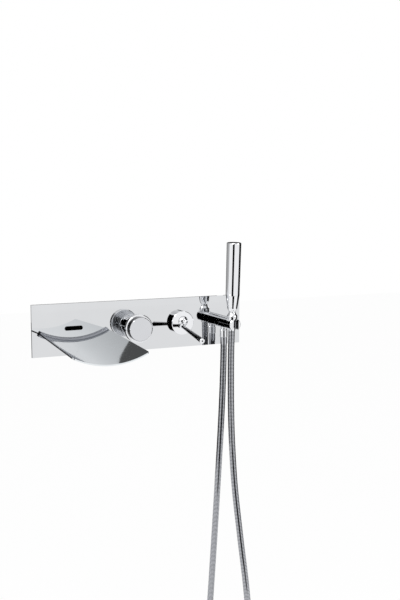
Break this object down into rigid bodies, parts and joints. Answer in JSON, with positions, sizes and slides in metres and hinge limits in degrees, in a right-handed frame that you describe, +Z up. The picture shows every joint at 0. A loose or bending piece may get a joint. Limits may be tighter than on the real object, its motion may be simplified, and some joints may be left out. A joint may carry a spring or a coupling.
{
  "type": "wall mounted bath faucet",
  "caption": "Wall mounted bath faucet: mirror plate, curved waterfall blade, diverter knob, joystick mixer, and a stick hand shower on a hose in an arm holder.",
  "frame": {"origin": "on the wall's face, behind the middle of the wall plate", "axes": "+X along the plate to the right as seen from the room, +Y into the wall, +Z up"},
  "size_m": [0.435, 0.305, 0.9059],
  "materials": {
    "mirror_plate": "mirror-polished chrome plate",
    "chrome": "bright chrome",
    "satin_cap": "pale satin chrome",
    "brass": "raw brass",
    "steel": "plain stainless steel",
    "seal_rubber": "matt rubber",
    "nozzle_rubber": "grey silicone",
    "ceramic": "cartridge housing",
    "liner_plastic": "pale grey nylon",
    "black_plastic": "black plug",
    "hose_metal": "ribbed chrome-plated metal hose"
  },
  "bodies": {
    "valve": {"plate_gasket": "seal_rubber", "wall_plate": "mirror_plate", "fixing_studs": "steel", "fixing_washers": "steel", "fixing_nuts": "brass", "valve_body": "brass", "spout_blade": "mirror_plate", "spout_bead": "chrome", "bead_studs": "steel", "bead_nuts": "steel", "mixer_flange": "chrome", "mixer_cartridge": "ceramic", "mixer_ring": "brass", "diverter_cartridge": "ceramic", "diverter_ring": "brass", "knob_collar": "chrome", "shower_arm": "chrome", "arm_orings": "seal_rubber", "outlet_nipple": "chrome", "outlet_nut": "chrome", "outlet_washer": "seal_rubber", "holder_liner": "liner_plastic", "hose": "hose_metal"},
    "diverter_knob": {"knob_spindle": "brass", "knob_neck": "chrome", "knob_head": "chrome", "knob_cap": "satin_cap", "knob_screw": "steel"},
    "mixer_carrier": {"mixer_carrier": "steel", "tilt_pin": "steel"},
    "joystick": {"joystick_ball": "chrome", "lever_collar": "chrome", "lever_rod": "chrome", "lever_cap": "chrome", "lever_plug": "black_plastic"},
    "hose_nut": {"cone_nut": "chrome"},
    "hand_shower": {"shower_foot": "chrome", "shower_taper": "chrome", "shower_grip": "chrome", "shower_cap": "chrome", "spray_face": "liner_plastic", "spray_nozzles": "nozzle_rubber"}
  },
  "joints": [
    {"name": "knob_spin", "type": "hinge", "parent": "valve", "child": "diverter_knob", "pos_m": [-0.021, -0.03, 0], "axis": [0, -1, 0], "range_deg": [-90, 90]},
    {"name": "mixer_turn", "type": "hinge", "parent": "valve", "child": "mixer_carrier", "pos_m": [0.0845, -0.015, 0.004], "axis": [0, -1, 0], "range_deg": [-45, 45]},
    {"name": "mixer_tilt", "type": "hinge", "parent": "mixer_carrier", "child": "joystick", "pos_m": [0.0845, -0.015, 0.004], "axis": [-1, 0, 0], "range_deg": [0, 28]},
    {"name": "shower_lift", "type": "slide", "parent": "valve", "child": "hose_nut", "axis": [0, -0.0523, 0.9986], "range_m": [0, 0.06], "deforming": ["hose"]},
    {"name": "shower_swivel", "type": "hinge", "parent": "hose_nut", "child": "hand_shower", "pos_m": [0.168, -0.07, 0], "axis": [0, -0.0523, 0.9986], "range_deg": [-90, 90]}
  ]
}
